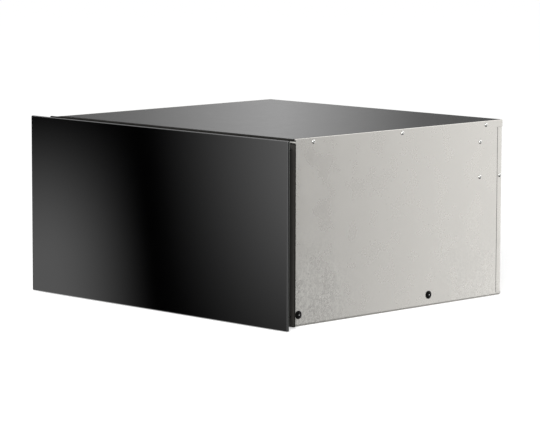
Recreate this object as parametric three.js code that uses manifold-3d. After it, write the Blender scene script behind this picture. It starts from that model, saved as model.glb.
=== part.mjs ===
// Built-in warming drawer with a handleless glass front, push-to-open.
// Millimetres, +Z up. The front faces -Y, and +X is on the right of someone facing it.
// The origin is the centre of the casing's underside.

import * as THREE from 'three';
import { mergeVertices } from 'three/addons/utils/BufferGeometryUtils.js';
import Module from 'manifold-3d';

const wasm = await Module();
wasm.setup();

// ---------------------------------------------------------------- driving dimensions

// Sheets and fits
const sheet = 1.0;              // folded casing and drawer sheets
const fixedGap = 0.3;           // between pieces that touch
const foldRadius = 2.5;         // outside radius of a folded edge
const screwFit = 0.4;           // radial room around a screw or rivet shank
const overrun = 1.0;            // how far a cutter reaches past what it cuts

// Whole object: the glass front, and the casing behind it
const frontWidth = 595;
const frontHeight = 290;
const frontLift = 1.0;          // glass above the casing's underside
const frontRise = 1.7;          // glass above the casing's top
const frontOverhang = 27.75;    // glass beyond the casing's side
const casingDepth = 482;

// Casing
const frontReturn = 5.5;        // side panel's front edge, folded inward
const baseReturn = 8;           // side panel's foot, folded inward
const topEase = 0.8;            // rounding of the side panel's upper edge
const topLip = 9.8;             // top plate's edges, folded down inside the sides
const rearFlange = 11.5;        // rear panel's edges, folded forward over the sides
const seamGap = 1.1;            // open seam in front of the rear flange
const seamTopInset = 11.7;      // plain side sheet above the rear flange
const seamBottomInset = 5;      // plain side sheet below it
const basePanLip = 12;          // base pan's rear edge, folded up

// Front frame
const frameOverlap = 13.75;     // flange beyond the casing's side
const frameBottom = 2.7;        // above the casing's underside
const frameDepth = 13.9;
const frameFlange = 2.5;        // thickness of the flange that meets the niche
const frameCollar = 1.5;        // wall of the collar behind the flange
const frameTopBar = 6;
const frameCorner = 2;          // corners of the flange below the relief slots
const frameTopCorner = 1;       // and above them
const cornerSlotHeight = 2.4;   // relief slot between the top and side flanges
const cornerSlotDrop = 2.2;     // from the frame's top to the slot
const fixingHoleRadius = 2.25;
const fixingInset = 9;          // fixing hole to the flange's outer edge
const fixingHeight = 15.3;      // fixing holes to the frame's top and bottom edges

// Glass front and what carries it
const glassThickness = 4.5;
const glassBevel = 0.7;
const glassCorner = 1.2;
const carrierDepth = 16.6;
const carrierInsetX = 22;       // from the glass edge to the carrier's edge
const carrierInsetZ = 9;
const sealThickness = 3.0;
const sealWidth = 7;
const sealInset = 3;            // from the carrier's edge to the seal
const pushTravel = 3.0;         // how far the closed drawer can be pushed in
const pushClearance = 0.4;      // left over at the end of that push

// Runners: cabinet, middle and drawer members, one inside the other
const railHeight = 27;
const railWall = 1.2;
const railReach = 9.3;          // cabinet member, wall to lip end
const railMiddleReach = 7;
const railRace = 1.0;           // ball race between members
const railRearRoom = 59.2;      // from the runners to the casing's rear face
const railCentre = 18.3;        // height of the runners' centre line
const railScrewFront = 8.6;     // from the casing's front edge
const railScrewRear = 305.3;
const railScrewShank = 2;
const railScrewLength = 2.8;
const railScrewHead = 5.8;
const railScrewDome = 2.6;

// Drawer
const drawerBottom = 6;         // above the casing's underside
const drawerHeadroom = 54.3;    // from its top to the casing's top
const drawerRearRoom = 27.9;    // from its back to the air baffle
const drawerPass = 1.3;         // running room through the front frame
const drawerWallSpace = 21.15;  // from its outside to the inside of the liner
const ledgeDepth = 52.2;        // from the front's inner panel to the liner
const linerSheet = 0.8;
const linerRearSpace = 11.5;    // between the liner's back and the drawer's back
const hotplateThickness = 4;
const hotplateTop = 45;
const hotplateWindowInset = 30; // opening in the sheet under the glass plate
const insulationHeight = 20;
const reflectorSheet = 0.8;
const baseHeaterTube = 6.5;
const baseHeaterRuns = 6;
const baseHeaterPitch = 44;
const baseHeaterInset = 69;     // from the liner's side to the bends
const baseHeaterDrop = 3;       // from the support sheet to the tube
const airSlotCount = 21;        // upright slots in the drawer's back
const airSlotPitch = 16;
const airSlotWidth = 5;
const airSlotLow = 75;
const airSlotDrop = 30;         // from the drawer's top to the slots
const bracketHeight = 130;
const bracketLeg = 11;          // against the front
const bracketArm = 33;          // along the drawer's side
const bracketSheet = 2;
const bracketBottom = 60;

// Control ledge
const knobInset = 51;           // from the liner's side to the knob's axis
const knobRadius = 17;
const knobHeight = 15;
const knobRibs = 24;
const knobRibDepth = 0.9;
const knobMark = 1.0;           // width and depth of the pointer groove
const knobShaftRadius = 3;
const knobRunningGap = 0.5;
const switchSize = 30;
const switchHeight = 24;
const lensSpacing = 42;         // from the knob's axis to the lens
const lensRadius = 4;
const lensRise = 1.2;
const lensDepth = 4;

// Air chamber at the back
const chamberDepth = 48;        // from the baffle to the casing's rear face
const baffleBottom = 34;
const baffleFlange = 12.5;      // its sides, folded forward where they are riveted
const baffleFlangeHeight = 84;
const baffleFlangeDrop = 19.3;  // from the casing's top to the flanges
const intakeCount = 5;          // slots in front of the fan
const intakePitch = 11;
const outletCentre = 165;       // slots on each side of the fan
const outletCount = 6;
const fanHeight = 150;          // axis above the underside
const fanRadius = 56;
const fanBlades = 12;
const fanBladeDepth = 12;
const fanBladeWall = 1.4;
const fanDisc = 1.2;
const fanHubRadius = 9;
const fanSetback = 3;           // behind the baffle
const motorRadius = 30;
const motorDepth = 20;
const motorShaftRadius = 2.5;
const motorFit = 0.5;           // shaft's room in the motor
const motorBearing = 3;         // boss on its front
const motorBossRadius = 7.5;
const motorFloor = 3;           // solid behind its shaft
const motorBracketWidth = 90;
const motorBracketHeight = 30;
const ringHeaterRadius = 70;
const ringHeaterTube = 6.5;
const ringHeaterSetback = 9;
const ringHeaterOpening = 16;   // degrees, at the foot of the ring
const thermostatRadius = 8;
const thermostatDepth = 9;
const thermostatX = 95;
const thermostatDrop = 54.3;    // from the casing's top
const boardWidth = 96;
const boardHeight = 62;
const boardThickness = 1.6;
const boardStandoff = 6.4;
const boardInset = 36.75;       // from the casing's left side
const boardLow = 70;
const boardPostRadius = 3;
const boardPostInset = 6;
const relayCount = 3;
const relayPitch = 28;
const relaySize = 19;
const relayDepth = 15;
const relayLow = 15;            // above the board's lower edge
const ventCentre = 120;         // slots in the rear panel, on each side
const ventCount = 9;
const ventPitch = 11;
const ventWidth = 4;
const ventHeight = 26;
const ventDrop = 38.3;          // from the casing's top to the slots
const inletInset = 79.75;       // from the casing's right side to the inlet's middle
const inletZ = 38;
const inletWidth = 27;
const inletHeight = 20;
const inletFlangeLip = 4;
const inletFlangeThickness = 1.6;
const inletDepth = 16;
const inletWall = 2;
const inletPinSpread = 7;
const inletPinDrop = 2;
const inletPinHalf = 1;
const inletPinSetback = 5;      // pin ends, inside the socket's mouth
const terminalWidth = 52;
const terminalDepth = 22;
const terminalHeight = 52;

// Push latch
const latchWidth = 36;
const latchHeight = 24;
const latchLength = 40;
const plungerRadius = 5;
const plungerReach = 3.4;       // of the plunger in front of its housing
const plungerLength = 24;
const plungerTravel = 4;
const plungerFit = 0.4;
const strikerGap = 3.5;         // from the closed drawer's striker to the plunger
const strikerWidth = 18;
const strikerHeight = 9;
const strikerThickness = 1.5;

// Rivets along the top of each side panel: from the panel's ends, and below its top edge
const rivetRadius = 3;
const rivetDome = 1.1;
const rivetShank = 1.5;
const rivetLength = 3;
const topRivetDrop = 6.5;
const topRivetInset = 40.5;
const headRim = 0.35;           // upright edge of a domed head, as a share of its height

// ---------------------------------------------------------------- places worked out from them

const casingHeight = frontLift + frontHeight - frontRise;
const frontEdge = -casingDepth / 2;
const rearFace = casingDepth / 2;
const sideOuter = frontWidth / 2 - frontOverhang;
const sideInner = sideOuter - sheet;
const insideFace = sideInner - fixedGap;

const frameHalf = sideOuter + frameOverlap;
const frameBack = frontEdge - fixedGap;
const frameFront = frameBack - frameDepth;
const sealBack = frameFront - pushTravel - pushClearance;
const sealFront = sealBack - sealThickness;
const panelBack = sealFront - fixedGap;
const panelFront = panelBack - sheet;
const carrierBack = panelFront - fixedGap;
const carrierFront = carrierBack - carrierDepth;
const glassBack = carrierFront - fixedGap;
const glassFront = glassBack - glassThickness;

const middleOuter = insideFace - railWall - railRace;
const innerLipEnd = middleOuter - railWall - railRace;
const innerWebInner = insideFace - railReach - railWall - railRace / 2;
const middleHalf = railHeight / 2 - railWall - railRace;
const innerHalf = middleHalf - railWall - railRace;
const railFront = frontEdge + foldRadius + fixedGap;
const railBack = rearFace - railRearRoom;

const baffleBack = rearFace - chamberDepth;
const baffleFront = baffleBack - sheet;

const drawerHalf = innerWebInner - fixedGap;
const drawerTop = casingHeight - drawerHeadroom;
const drawerFront = panelBack + fixedGap;
const drawerBack = baffleFront - drawerRearRoom;
const linerHalf = drawerHalf - drawerWallSpace;
const linerBack = drawerBack - linerRearSpace;
const linerFront = drawerFront + ledgeDepth;
const hotplateBottom = hotplateTop - hotplateThickness;
const supportTop = hotplateBottom - fixedGap;
const supportBottom = supportTop - linerSheet;
const ledgeY = (drawerFront + linerFront - linerSheet) / 2;
const heaterAxisZ = supportBottom - baseHeaterDrop - baseHeaterTube / 2;
const insulationBottom = drawerBottom + sheet + fixedGap;
const reflectorBottom = insulationBottom + insulationHeight + fixedGap;
const baseHeaterSpan = 2 * (linerHalf - baseHeaterInset) - baseHeaterPitch;
const airSlotHigh = drawerTop - airSlotDrop;
const knobX = linerHalf - knobInset;

const passHalf = drawerHalf + drawerPass;
const railPassOuter = middleOuter + drawerPass;
const railPassTop = railCentre + middleHalf + drawerPass;

const fanFront = baffleBack + fanSetback;
const fanBack = fanFront + fanBladeDepth + fanDisc;
const rearInner = rearFace - sheet;
const motorBack = rearInner - fixedGap - sheet - fixedGap;
const motorFront = motorBack - motorDepth;
const thermostatZ = casingHeight - thermostatDrop;
const ventBottom = casingHeight - ventDrop - ventHeight;
const boardX = boardInset + boardWidth / 2 - sideOuter;
const inletX = sideOuter - inletInset;
const plungerTip = drawerBack + fixedGap + strikerThickness + strikerGap;
const latchFront = plungerTip + plungerReach;
const latchAxis = sheet + fixedGap + latchHeight / 2;

// ---------------------------------------------------------------- materials

function finish(color, roughness, metalness) {
  return new THREE.MeshStandardMaterial({ color, roughness, metalness });
}

const galvanised = finish(0xb7b4af, 0.42, 0.75);
const topSteel = finish(0x8b8b8a, 0.35, 0.75);
const blackPaint = finish(0x2a2623, 0.5, 0.2);
const blackGlass = finish(0x0b0b0c, 0.06, 0.0);
const stainless = finish(0xb9bcbe, 0.3, 0.9);
const hotplateGlass = finish(0x1b1c1e, 0.1, 0.0);
const blackRubber = finish(0x1a1a1a, 0.85, 0.0);
const blackPlastic = finish(0x222222, 0.5, 0.0);
const whitePlastic = finish(0xd8d6d0, 0.55, 0.0);
const amberLens = finish(0xd98a2b, 0.2, 0.0);
const heaterSteel = finish(0x6f6a66, 0.45, 0.8);
const zincSteel = finish(0xc9c9c6, 0.3, 0.9);
const blackScrew = finish(0x16171a, 0.35, 0.6);
const insulationWool = finish(0xd9c98f, 0.95, 0.0);
const boardGreen = finish(0x2f6b45, 0.6, 0.0);

// ---------------------------------------------------------------- shape helpers

function toSolid(geometry) {
  const bare = new THREE.BufferGeometry();
  bare.setAttribute('position', geometry.getAttribute('position'));
  bare.setIndex(geometry.getIndex());
  const merged = mergeVertices(bare, 1e-4);
  return new wasm.Manifold(new wasm.Mesh({
    numProp: 3,
    vertProperties: new Float32Array(merged.getAttribute('position').array),
    triVerts: new Uint32Array(merged.getIndex().array),
  }));
}

function toGeometry(solid) {
  const mesh = solid.getMesh();
  const geometry = new THREE.BufferGeometry();
  const positions = new Float32Array(mesh.vertProperties);
  geometry.setAttribute('position', new THREE.BufferAttribute(positions, 3));
  geometry.setIndex(new THREE.BufferAttribute(new Uint32Array(mesh.triVerts), 1));
  return geometry;
}

function joined(...geometries) {
  return toGeometry(geometries.map(toSolid).reduce((whole, part) => whole.add(part)));
}

function cut(geometry, cutters) {
  const whole = toSolid(geometry);
  return toGeometry(cutters.map(toSolid).reduce((rest, cutter) => rest.subtract(cutter), whole));
}

function block(x0, x1, y0, y1, z0, z1) {
  const geometry = new THREE.BoxGeometry(Math.abs(x1 - x0), Math.abs(y1 - y0), Math.abs(z1 - z0));
  return geometry.translate((x0 + x1) / 2, (y0 + y1) / 2, (z0 + z1) / 2);
}

function shapeOf(points) {
  return new THREE.Shape(points.map(([x, y]) => new THREE.Vector2(x, y)));
}

function arc(centreX, centreY, radius, startDegrees, endDegrees, steps = 4) {
  return Array.from({ length: steps + 1 }, (_, i) => {
    const angle = THREE.MathUtils.degToRad(startDegrees + (endDegrees - startDegrees) * i / steps);
    return [centreX + radius * Math.cos(angle), centreY + radius * Math.sin(angle)];
  });
}

function mirrored(points, side) {
  return points.map(([x, y]) => [side * x, y]);
}

function roundedRectangle(halfWidth, low, high, radius) {
  return [
    ...arc(halfWidth - radius, low + radius, radius, -90, 0),
    ...arc(halfWidth - radius, high - radius, radius, 0, 90),
    ...arc(-halfWidth + radius, high - radius, radius, 90, 180),
    ...arc(-halfWidth + radius, low + radius, radius, 180, 270),
  ];
}

// An outline in X and Y, extruded up from z0 to z1.
function prismZ(points, z0, z1) {
  const geometry = new THREE.ExtrudeGeometry(shapeOf(points), { depth: z1 - z0, bevelEnabled: false });
  return geometry.translate(0, 0, z0);
}

// An outline in X and Z, extruded back from y0 to y1.
function prismY(points, y0, y1) {
  const geometry = new THREE.ExtrudeGeometry(shapeOf(points), { depth: y1 - y0, bevelEnabled: false });
  return geometry.rotateX(Math.PI / 2).translate(0, y1, 0);
}

// An outline in Y and Z, extruded from x0 to x1.
function prismX(points, x0, x1) {
  const geometry = new THREE.ExtrudeGeometry(shapeOf(points), { depth: x1 - x0, bevelEnabled: false });
  const turn = new THREE.Matrix4().makeBasis(
    new THREE.Vector3(0, 1, 0), new THREE.Vector3(0, 0, 1), new THREE.Vector3(1, 0, 0));
  return geometry.applyMatrix4(turn).translate(x0, 0, 0);
}

// A solid of revolution about Z, from [radius, height] points that start and end on the axis.
function turned(points, segments) {
  const profile = points.map(([r, z]) => new THREE.Vector2(r, z));
  return new THREE.LatheGeometry(profile, segments).rotateX(Math.PI / 2);
}

// The profile of a dome from its rim to its top, as [radius, height] points.
function domeProfile(radius, base, rise) {
  const steps = 3;
  const points = Array.from({ length: steps }, (_, i) => {
    const angle = (i / steps) * (Math.PI / 2);
    return [radius * Math.cos(angle), base + rise * Math.sin(angle)];
  });
  return [...points, [0, base + rise]];
}

function rodX(x0, x1, y, z, radius, segments = 16) {
  const rod = new THREE.CylinderGeometry(radius, radius, Math.abs(x1 - x0), segments);
  return rod.rotateZ(Math.PI / 2).translate((x0 + x1) / 2, y, z);
}

function rodY(x, y0, y1, z, radius, segments = 16) {
  const rod = new THREE.CylinderGeometry(radius, radius, y1 - y0, segments);
  return rod.translate(x, (y0 + y1) / 2, z);
}

function rodZ(x, y, z0, z1, radius, segments = 16) {
  const rod = new THREE.CylinderGeometry(radius, radius, z1 - z0, segments);
  return rod.rotateX(Math.PI / 2).translate(x, y, (z0 + z1) / 2);
}

// A path through points, whose steps fall on the points themselves.
class PointPath extends THREE.Curve {
  constructor(points) {
    super();
    this.points = points;
  }

  getUtoTmapping(u) {
    return u;
  }

  getPoint(t, target = new THREE.Vector3()) {
    const place = t * (this.points.length - 1);
    const index = Math.min(Math.floor(place), this.points.length - 2);
    return target.lerpVectors(this.points[index], this.points[index + 1], place - index);
  }
}

// A round tube of the given diameter through points, closed at both ends.
function tube(points, diameter, sides) {
  const section = shapeOf(arc(0, 0, diameter / 2, 0, 360 - 360 / sides, sides - 1));
  return new THREE.ExtrudeGeometry(section, {
    steps: points.length - 1,
    extrudePath: new PointPath(points),
    bevelEnabled: false,
  });
}

// A row of upright slots through a sheet that faces Y and has y on one of its faces.
function slotCutters(centreX, count, pitch, width, y, z0, z1) {
  const reach = sheet + overrun;
  return Array.from({ length: count }, (_, i) => {
    const x = centreX + (i - (count - 1) / 2) * pitch;
    return block(x - width / 2, x + width / 2, y - reach, y + reach, z0, z1);
  });
}

const casing = new THREE.Group();
const drawer = new THREE.Group();
const middleRunnerLeft = new THREE.Group();
const middleRunnerRight = new THREE.Group();
const knob = new THREE.Group();
const fan = new THREE.Group();
const latch = new THREE.Group();

function addPiece(group, name, geometry, material) {
  geometry.computeVertexNormals();
  const mesh = new THREE.Mesh(geometry, material);
  mesh.name = name;
  group.add(mesh);
  return mesh;
}

const bothSides = [['left', -1], ['right', 1]];
const sideSigns = bothSides.map(([, side]) => side);

// ---------------------------------------------------------------- casing

// Where the rivets of a side panel sit: [name, y, z].
const rivetPlaces = [
  ['front', frontEdge + topRivetInset, casingHeight - topRivetDrop],
  ['middle', 0, casingHeight - topRivetDrop],
  ['rear', rearFace - topRivetInset, casingHeight - topRivetDrop],
];

const railScrewPlaces = [
  ['front', frontEdge + railScrewFront],
  ['rear', frontEdge + railScrewRear],
];

// Cutters for every fastener that passes through the side wall and what is riveted to it.
function sideHoles(side) {
  const inner = side * (sideOuter - rivetLength - overrun);
  const outer = side * (sideOuter + overrun);
  const rivetHoles = rivetPlaces.map(([, y, z]) => (
    rodX(inner, outer, y, z, rivetShank + screwFit, 12)));
  const screwHoles = railScrewPlaces.map(([, y]) => (
    rodX(inner, outer, y, railCentre, railScrewShank + screwFit, 12)));
  return [...rivetHoles, ...screwHoles];
}

function basePan() {
  const half = sideOuter - foldRadius;
  const floor = block(-half, half, frontEdge, rearFace, 0, sheet);
  const lipBack = rearInner - fixedGap;
  const lipHalf = insideFace - baseReturn;
  const lip = block(-lipHalf, lipHalf, lipBack - sheet, lipBack, 0, basePanLip);
  return joined(floor, lip);
}

// Side sheet seen from above: front edge folded inward, rear edge flat.
function sideOutline(rearPoints) {
  const bendY = frontEdge + foldRadius;
  const bendX = sideOuter - foldRadius;
  return [
    [sideOuter - frontReturn, frontEdge],
    ...arc(bendX, bendY, foldRadius, -90, 0),
    ...rearPoints,
    ...arc(bendX, bendY, foldRadius - sheet, 0, -90),
    [sideOuter - frontReturn, frontEdge + sheet],
  ];
}

// Cutter that rounds off a side panel's outer edge at the height z, where its face ends.
function sideEdgeRounder(side, z, up, radius) {
  const outside = sideOuter + overrun;
  const rounding = arc(sideOuter - radius, 0, radius, 90, 0).map(([x, rise]) => [x, rise - radius]);
  const outline = [...rounding, [outside, -radius], [outside, overrun], [sideOuter - radius, overrun]];
  const placed = outline.map(([x, rise]) => [side * x, z + up * rise]);
  return prismY(placed, frontEdge - overrun, rearFace + overrun);
}

function sidePanel(side) {
  const low = sheet + fixedGap;
  const seamLow = seamBottomInset;
  const seamHigh = casingHeight - seamTopInset;
  const plainEnd = [[sideOuter, rearFace], [sideInner, rearFace]];
  // Beside the rear flange the sheet is stepped inward, so that the flange lies flush outside it.
  const stepY = rearFace - rearFlange - seamGap;
  const stepOuter = insideFace;
  const stepInner = insideFace - sheet;
  const stepEnd = rearFace - foldRadius;
  const steppedEnd = [
    [sideOuter, stepY],
    [stepOuter, stepY],
    [stepOuter, stepEnd],
    [stepInner, stepEnd],
    [stepInner, stepY - sheet],
    [sideInner, stepY - sheet],
  ];
  const plain = mirrored(sideOutline(plainEnd), side);
  const stepped = mirrored(sideOutline(steppedEnd), side);
  const footEnd = rearInner - 2 * (sheet + fixedGap);
  const footOutline = [
    [sideInner - baseReturn, low],
    [sideInner, low],
    ...arc(sideOuter - foldRadius, low + foldRadius, foldRadius - sheet, 0, -90),
    [sideInner - baseReturn, low + sheet],
  ];
  const foot = prismY(mirrored(footOutline, side), frontEdge + foldRadius, footEnd);
  const wall = joined(
    prismZ(plain, low, seamLow),
    prismZ(stepped, seamLow, seamHigh),
    prismZ(plain, seamHigh, casingHeight),
    foot);
  const returnEnd = side * (sideOuter - frontReturn - overrun);
  const railPass = block(returnEnd, side * railPassOuter, frontEdge - overrun,
    frontEdge + sheet + fixedGap, low, railPassTop);
  const underTop = block(returnEnd, side * sideInner, frontEdge - overrun, frontEdge + foldRadius,
    casingHeight - sheet - fixedGap, casingHeight + overrun);
  const behindTop = block(side * insideFace, side * (stepInner - overrun), stepY - sheet - overrun, rearFace,
    seamHigh, casingHeight + overrun);
  const topRounder = sideEdgeRounder(side, casingHeight, 1, topEase);
  const footRounder = sideEdgeRounder(side, low, -1, foldRadius);
  return cut(wall, [railPass, underTop, behindTop, topRounder, footRounder, ...sideHoles(side)]);
}

function topPlate() {
  const low = casingHeight - topLip;
  const bendX = insideFace - foldRadius;
  const bendZ = casingHeight - foldRadius;
  const outer = arc(bendX, bendZ, foldRadius, 0, 90);
  const inner = arc(bendX, bendZ, foldRadius - sheet, 90, 0);
  const half = [[insideFace, low], ...outer];
  const underHalf = [...inner, [insideFace - sheet, low]];
  const outline = [
    ...half,
    ...mirrored(half, -1).reverse(),
    ...mirrored(underHalf, -1).reverse(),
    ...underHalf,
  ];
  const plate = prismY(outline, frontEdge, rearInner - fixedGap);
  const frontCorners = sideSigns.map((side) => (
    block(side * (insideFace - frontReturn), side * (insideFace + overrun), frontEdge - overrun,
      frontEdge + foldRadius + fixedGap, low - overrun, casingHeight - sheet)));
  return cut(plate, [...frontCorners, ...sideHoles(-1), ...sideHoles(1)]);
}

function rearPanel() {
  const flangeEnd = rearFace - rearFlange;
  const bend = rearFace - foldRadius;
  const bendX = sideOuter - foldRadius;
  const flange = [[sideInner, flangeEnd], [sideOuter, flangeEnd]];
  const half = [...flange, ...arc(bendX, bend, foldRadius, 0, 90)];
  const underHalf = arc(bendX, bend, foldRadius - sheet, 90, 0);
  const outline = [
    ...half,
    ...mirrored(half, -1).reverse(),
    ...mirrored(underHalf, -1).reverse(),
    ...underHalf,
  ];
  const wrappedTop = casingHeight - seamTopInset - fixedGap;
  const wrapped = prismZ(outline, seamBottomInset + fixedGap, wrappedTop);
  const flat = block(-insideFace, insideFace, rearInner, rearFace, sheet + fixedGap, casingHeight);
  const holeHalf = inletWidth / 2 + fixedGap;
  const holeUp = inletHeight / 2 + fixedGap;
  const inletHole = block(inletX - holeHalf, inletX + holeHalf, rearInner - overrun, rearFace + overrun,
    inletZ - holeUp, inletZ + holeUp);
  const vents = sideSigns.flatMap((side) => (
    slotCutters(side * ventCentre, ventCount, ventPitch, ventWidth, rearFace,
      ventBottom, ventBottom + ventHeight)));
  return cut(joined(wrapped, flat), [inletHole, ...vents]);
}

function frontFrame() {
  const flangeBack = frameFront + frameFlange;
  const slotTop = casingHeight - cornerSlotDrop;
  const slotLow = slotTop - cornerSlotHeight;
  const topFlange = roundedRectangle(frameHalf, slotTop, casingHeight, frameTopCorner);
  const sideFlanges = roundedRectangle(frameHalf, frameBottom, slotLow, frameCorner);
  const flanges = [topFlange, sideFlanges].map((outline) => prismY(outline, frameFront, flangeBack));
  const collarHalf = sideOuter - fixedGap;
  const collar = block(-collarHalf, collarHalf, frameFront, frameBack, frameBottom, casingHeight);
  const before = frameFront - overrun;
  const behind = frameBack + overrun;
  const openingTop = casingHeight - frameTopBar;
  const openingBottom = drawerBottom - drawerPass;
  const opening = block(-passHalf, passHalf, before, behind, openingBottom, openingTop);
  const railWays = block(-railPassOuter, railPassOuter, before, behind, openingBottom, railPassTop);
  const collarInner = collarHalf - frameCollar;
  const hollow = block(-collarInner, collarInner, flangeBack, behind,
    frameBottom + frameCollar, casingHeight - frameCollar);
  const fixingRows = [frameBottom + fixingHeight, casingHeight - fixingHeight];
  const fixingHoles = sideSigns.flatMap((side) => fixingRows.map((z) => (
    rodY(side * (frameHalf - fixingInset), before, flangeBack + overrun, z, fixingHoleRadius))));
  return cut(joined(...flanges, collar), [opening, hollow, railWays, ...fixingHoles]);
}

// A rivet or screw: a domed head outside the side panel and a shank through it.
function sideFastener(side, y, z, headRadius, dome, shankRadius, shankLength) {
  const profile = [
    [0, -shankLength],
    [shankRadius, -shankLength],
    [shankRadius, 0],
    [headRadius, 0],
    ...domeProfile(headRadius, dome * headRim, dome * (1 - headRim)),
  ];
  const geometry = turned(profile, 16).rotateY(side * Math.PI / 2);
  return geometry.translate(side * (sideOuter + fixedGap / 2), y, z);
}

addPiece(casing, 'base_pan', basePan(), galvanised);
addPiece(casing, 'top_plate', topPlate(), topSteel);
addPiece(casing, 'rear_panel', rearPanel(), galvanised);
addPiece(casing, 'front_frame', frontFrame(), blackPaint);

for (const [name, side] of bothSides) {
  addPiece(casing, `side_panel_${name}`, sidePanel(side), galvanised);
  for (const [place, y, z] of rivetPlaces) {
    const rivet = sideFastener(side, y, z, rivetRadius, rivetDome, rivetShank, rivetLength);
    addPiece(casing, `rivet_${place}_${name}`, rivet, zincSteel);
  }
  for (const [place, y] of railScrewPlaces) {
    const screw = sideFastener(side, y, railCentre, railScrewHead, railScrewDome, railScrewShank,
      railScrewLength);
    addPiece(casing, `runner_screw_${place}_${name}`, screw, blackScrew);
  }
}

// ---------------------------------------------------------------- runners

// A channel seen along its length: a web at webX and two lips that reach to lipX.
function channel(webX, lipX, halfHeight, wall, y0, y1) {
  const inward = Math.sign(lipX - webX);
  const points = [
    [webX, -halfHeight],
    [lipX, -halfHeight],
    [lipX, -halfHeight + wall],
    [webX + inward * wall, -halfHeight + wall],
    [webX + inward * wall, halfHeight - wall],
    [lipX, halfHeight - wall],
    [lipX, halfHeight],
    [webX, halfHeight],
  ];
  return prismY(points.map(([x, z]) => [x, z + railCentre]), y0, y1);
}

for (const [name, side] of bothSides) {
  const cabinet = channel(side * insideFace, side * (insideFace - railReach), railHeight / 2, railWall,
    railFront, railBack);
  addPiece(casing, `runner_cabinet_${name}`, cut(cabinet, sideHoles(side)), zincSteel);
  const middle = channel(side * middleOuter, side * (middleOuter - railMiddleReach), middleHalf, railWall,
    railFront, railBack);
  addPiece(side < 0 ? middleRunnerLeft : middleRunnerRight, `runner_middle_${name}`, middle, zincSteel);
  const inner = channel(side * innerWebInner, side * innerLipEnd, innerHalf, railWall, railFront, railBack);
  addPiece(drawer, `runner_drawer_${name}`, inner, zincSteel);
}

// ---------------------------------------------------------------- front

function glassFrontPanel() {
  const halfWidth = frontWidth / 2 - glassBevel;
  const low = frontLift + glassBevel;
  const high = frontLift + frontHeight - glassBevel;
  const outline = roundedRectangle(halfWidth, low, high, glassCorner);
  const geometry = new THREE.ExtrudeGeometry(shapeOf(outline), {
    depth: glassThickness - 2 * glassBevel,
    bevelEnabled: true,
    bevelSize: glassBevel,
    bevelThickness: glassBevel,
    bevelSegments: 1,
  });
  return geometry.rotateX(Math.PI / 2).translate(0, glassBack - glassBevel, 0);
}

const carrierHalf = frontWidth / 2 - carrierInsetX;
const carrierLow = frontLift + carrierInsetZ;
const carrierHigh = frontLift + frontHeight - carrierInsetZ;

function frontCarrier() {
  const body = block(-carrierHalf, carrierHalf, carrierFront, carrierBack, carrierLow, carrierHigh);
  const hollowHalf = carrierHalf - sheet;
  const hollow = block(-hollowHalf, hollowHalf, carrierFront + sheet, carrierBack + overrun,
    carrierLow + sheet, carrierHigh - sheet);
  return cut(body, [hollow]);
}

// Seal across the top and down both sides, open at the bottom where the drawer box passes.
function frontSeal() {
  const half = carrierHalf - sealInset;
  const low = carrierLow + sealInset;
  const high = carrierHigh - sealInset;
  const outline = [
    [-half, low],
    [-half + sealWidth, low],
    [-half + sealWidth, high - sealWidth],
    [half - sealWidth, high - sealWidth],
    [half - sealWidth, low],
    [half, low],
    [half, high],
    [-half, high],
  ];
  return prismY(outline, sealFront, sealBack);
}

function frontBracket(side) {
  const outer = drawerHalf - sheet - fixedGap;
  const points = [
    [outer, drawerFront],
    [outer, drawerFront + bracketArm],
    [outer - bracketSheet, drawerFront + bracketArm],
    [outer - bracketSheet, drawerFront + bracketSheet],
    [outer - bracketLeg, drawerFront + bracketSheet],
    [outer - bracketLeg, drawerFront],
  ];
  return prismZ(mirrored(points, side), bracketBottom, bracketBottom + bracketHeight);
}

addPiece(drawer, 'glass_front', glassFrontPanel(), blackGlass);
addPiece(drawer, 'front_carrier', frontCarrier(), blackPaint);
addPiece(drawer, 'front_inner_panel',
  block(-carrierHalf, carrierHalf, panelFront, panelBack, carrierLow, carrierHigh), stainless);
addPiece(drawer, 'front_seal', frontSeal(), blackRubber);
for (const [name, side] of bothSides) {
  addPiece(drawer, `front_bracket_${name}`, frontBracket(side), galvanised);
}

// ---------------------------------------------------------------- drawer box

// Outer side of the drawer, with a rim folded inward over the liner.
function drawerSide(side) {
  const rimEnd = linerHalf + linerSheet + fixedGap;
  const points = [
    [drawerHalf - sheet, drawerBottom],
    [drawerHalf, drawerBottom],
    ...arc(drawerHalf - foldRadius, drawerTop - foldRadius, foldRadius, 0, 90),
    [rimEnd, drawerTop],
    [rimEnd, drawerTop - sheet],
    ...arc(drawerHalf - foldRadius, drawerTop - foldRadius, foldRadius - sheet, 90, 0),
  ];
  return prismY(mirrored(points, side), drawerFront, drawerBack);
}

const betweenSides = drawerHalf - sheet - fixedGap;
const betweenRims = linerHalf + linerSheet;

function drawerBackPanel() {
  const points = [
    [drawerBack - sheet, drawerBottom + sheet + fixedGap],
    [drawerBack, drawerBottom + sheet + fixedGap],
    [drawerBack, drawerTop],
    [linerBack + linerSheet + fixedGap, drawerTop],
    [linerBack + linerSheet + fixedGap, drawerTop - sheet],
    [drawerBack - sheet, drawerTop - sheet],
  ];
  const narrow = prismX(points, -betweenRims, betweenRims);
  const wide = block(-betweenSides, betweenSides, drawerBack - sheet, drawerBack,
    drawerBottom + sheet + fixedGap, drawerTop - foldRadius - fixedGap);
  return cut(joined(narrow, wide), airSlots(drawerBack));
}

function airSlots(y) {
  return slotCutters(0, airSlotCount, airSlotPitch, airSlotWidth, y, airSlotLow, airSlotHigh);
}

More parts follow.
